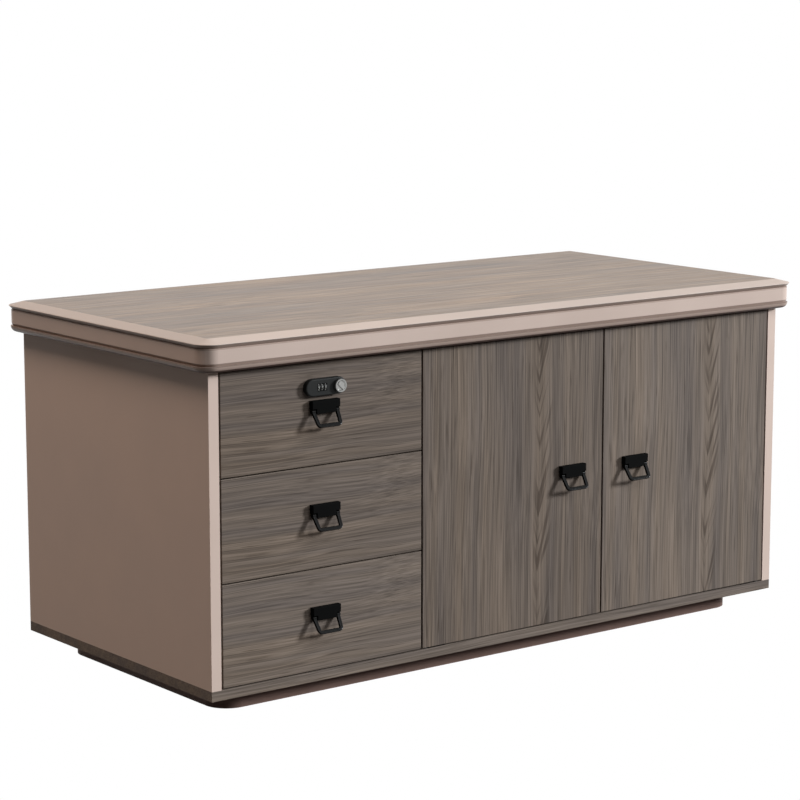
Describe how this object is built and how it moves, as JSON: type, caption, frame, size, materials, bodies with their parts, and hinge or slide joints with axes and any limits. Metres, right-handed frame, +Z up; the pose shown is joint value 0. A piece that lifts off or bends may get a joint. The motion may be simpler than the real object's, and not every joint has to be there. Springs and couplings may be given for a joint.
{
  "type": "low cabinet",
  "caption": "Low office cabinet with stacked drawers beside paired doors, a moulded trim round its top, bail handles, a dial lock and a recessed plinth.",
  "frame": {"origin": "on the floor, under the middle of the cabinet's overall box", "axes": "+X to the cabinet's right along its width, seen from the front; +Y from the front to the back; +Z up"},
  "size_m": [1.25, 0.6, 0.593],
  "materials": {
    "wood_decor": "matt grey-brown wood decor with a fine streaked grain",
    "champagne_board": "satin champagne laminate on board",
    "champagne_trim": "satin champagne wrap on a moulded length",
    "plinth_board": "matt dark brown laminate",
    "inner_board": "matt warm grey melamine",
    "handle_black": "matt black",
    "bail_black_nickel": "gloss black nickel",
    "lock_plastic": "fine matt black",
    "dial_plastic": "matt black with white marks",
    "knob_chrome": "brushed bright chrome",
    "zinc_steel": "zinc-plated steel",
    "catch_plastic": "brown plastic"
  },
  "bodies": {
    "carcass": {"back_panel": "inner_board", "back_top_rail": "inner_board", "base_panel": "wood_decor", "divider_panel": "inner_board", "door_catches": "catch_plastic", "door_pivot_leaves": "zinc_steel", "front_top_rail": "inner_board", "left_side_panel": "champagne_board", "plinth_back": "plinth_board", "plinth_ends": "plinth_board", "plinth_front": "plinth_board", "right_side_panel": "champagne_board", "shelf": "inner_board", "shelf_pins": "zinc_steel", "slide_outer_rails": "zinc_steel", "top_panel": "wood_decor", "top_trim_back": "champagne_trim", "top_trim_front": "champagne_trim", "top_trim_left": "champagne_trim", "top_trim_right": "champagne_trim"},
    "bottom_drawer": {"bottom_drawer_front": "wood_decor", "bottom_drawer_sides": "inner_board", "bottom_drawer_back": "inner_board", "bottom_drawer_bottom": "inner_board", "bottom_drawer_slide_rails": "zinc_steel", "bottom_drawer_handle_block": "handle_black"},
    "bottom_drawer_carrier": {"bottom_drawer_carrier_rails": "zinc_steel"},
    "bottom_drawer_bail": {"bottom_drawer_bail": "bail_black_nickel"},
    "middle_drawer": {"middle_drawer_front": "wood_decor", "middle_drawer_sides": "inner_board", "middle_drawer_back": "inner_board", "middle_drawer_bottom": "inner_board", "middle_drawer_slide_rails": "zinc_steel", "middle_drawer_handle_block": "handle_black"},
    "middle_drawer_carrier": {"middle_drawer_carrier_rails": "zinc_steel"},
    "middle_drawer_bail": {"middle_drawer_bail": "bail_black_nickel"},
    "top_drawer": {"top_drawer_front": "wood_decor", "top_drawer_sides": "inner_board", "top_drawer_back": "inner_board", "top_drawer_bottom": "inner_board", "top_drawer_slide_rails": "zinc_steel", "top_drawer_handle_block": "handle_black", "lock_body": "lock_plastic"},
    "top_drawer_carrier": {"top_drawer_carrier_rails": "zinc_steel"},
    "top_drawer_bail": {"top_drawer_bail": "bail_black_nickel"},
    "lock_spindle": {"lock_knob": "knob_chrome", "lock_cam": "zinc_steel"},
    "lock_wheel_1": {"lock_wheel_1": "dial_plastic"},
    "lock_wheel_2": {"lock_wheel_2": "dial_plastic"},
    "lock_wheel_3": {"lock_wheel_3": "dial_plastic"},
    "left_door": {"left_door_panel": "wood_decor", "left_door_leaves": "zinc_steel", "left_door_strike": "zinc_steel", "left_door_handle_block": "handle_black"},
    "left_door_bail": {"left_door_bail": "bail_black_nickel"},
    "right_door": {"right_door_panel": "wood_decor", "right_door_leaves": "zinc_steel", "right_door_strike": "zinc_steel", "right_door_handle_block": "handle_black"},
    "right_door_bail": {"right_door_bail": "bail_black_nickel"}
  },
  "joints": [
    {"name": "bottom_drawer_slide", "type": "slide", "parent": "carcass", "child": "bottom_drawer", "axis": [0, -1, 0], "range_m": [0, 0.4]},
    {"name": "bottom_carrier_slide", "type": "slide", "parent": "carcass", "child": "bottom_drawer_carrier", "axis": [0, -1, 0], "range_m": [0, 0.2]},
    {"name": "middle_drawer_slide", "type": "slide", "parent": "carcass", "child": "middle_drawer", "axis": [0, -1, 0], "range_m": [0, 0.4]},
    {"name": "middle_carrier_slide", "type": "slide", "parent": "carcass", "child": "middle_drawer_carrier", "axis": [0, -1, 0], "range_m": [0, 0.2]},
    {"name": "top_drawer_slide", "type": "slide", "parent": "carcass", "child": "top_drawer", "axis": [0, -1, 0], "range_m": [0, 0.4]},
    {"name": "top_carrier_slide", "type": "slide", "parent": "carcass", "child": "top_drawer_carrier", "axis": [0, -1, 0], "range_m": [0, 0.2]},
    {"name": "left_door_hinge", "type": "hinge", "parent": "carcass", "child": "left_door", "pos_m": [-0.183, -0.269, 0.295], "axis": [0, 0, 1], "range_deg": [-100, 0]},
    {"name": "right_door_hinge", "type": "hinge", "parent": "carcass", "child": "right_door", "pos_m": [0.57, -0.269, 0.295], "axis": [0, 0, 1], "range_deg": [0, 100]},
    {"name": "bottom_drawer_bail_lift", "type": "hinge", "parent": "bottom_drawer", "child": "bottom_drawer_bail", "pos_m": [-0.388, -0.2795, 0.13638], "axis": [-1, 0, 0], "range_deg": [0, 70]},
    {"name": "middle_drawer_bail_lift", "type": "hinge", "parent": "middle_drawer", "child": "middle_drawer_bail", "pos_m": [-0.388, -0.2795, 0.29972], "axis": [-1, 0, 0], "range_deg": [0, 70]},
    {"name": "top_drawer_bail_lift", "type": "hinge", "parent": "top_drawer", "child": "top_drawer_bail", "pos_m": [-0.388, -0.2795, 0.46305], "axis": [-1, 0, 0], "range_deg": [0, 70]},
    {"name": "left_door_bail_lift", "type": "hinge", "parent": "left_door", "child": "left_door_bail", "pos_m": [0.123, -0.2795, 0.29972], "axis": [-1, 0, 0], "range_deg": [0, 70]},
    {"name": "right_door_bail_lift", "type": "hinge", "parent": "right_door", "child": "right_door_bail", "pos_m": [0.264, -0.2795, 0.29972], "axis": [-1, 0, 0], "range_deg": [0, 70]},
    {"name": "lock_turn", "type": "hinge", "parent": "top_drawer", "child": "lock_spindle", "pos_m": [-0.3635, -0.284, 0.5005], "axis": [0, -1, 0], "range_deg": [0, 90]},
    {"name": "lock_wheel_1_spin", "type": "hinge", "parent": "top_drawer", "child": "lock_wheel_1", "pos_m": [-0.4024, -0.2773, 0.5005], "axis": [1, 0, 0], "continuous": true},
    {"name": "lock_wheel_2_spin", "type": "hinge", "parent": "top_drawer", "child": "lock_wheel_2", "pos_m": [-0.396, -0.2773, 0.5005], "axis": [1, 0, 0], "continuous": true},
    {"name": "lock_wheel_3_spin", "type": "hinge", "parent": "top_drawer", "child": "lock_wheel_3", "pos_m": [-0.3896, -0.2773, 0.5005], "axis": [1, 0, 0], "continuous": true}
  ],
  "couplings": [
    {"joint": "bottom_carrier_slide", "follows": "bottom_drawer_slide", "ratio": 0.5},
    {"joint": "middle_carrier_slide", "follows": "middle_drawer_slide", "ratio": 0.5},
    {"joint": "top_carrier_slide", "follows": "top_drawer_slide", "ratio": 0.5}
  ]
}
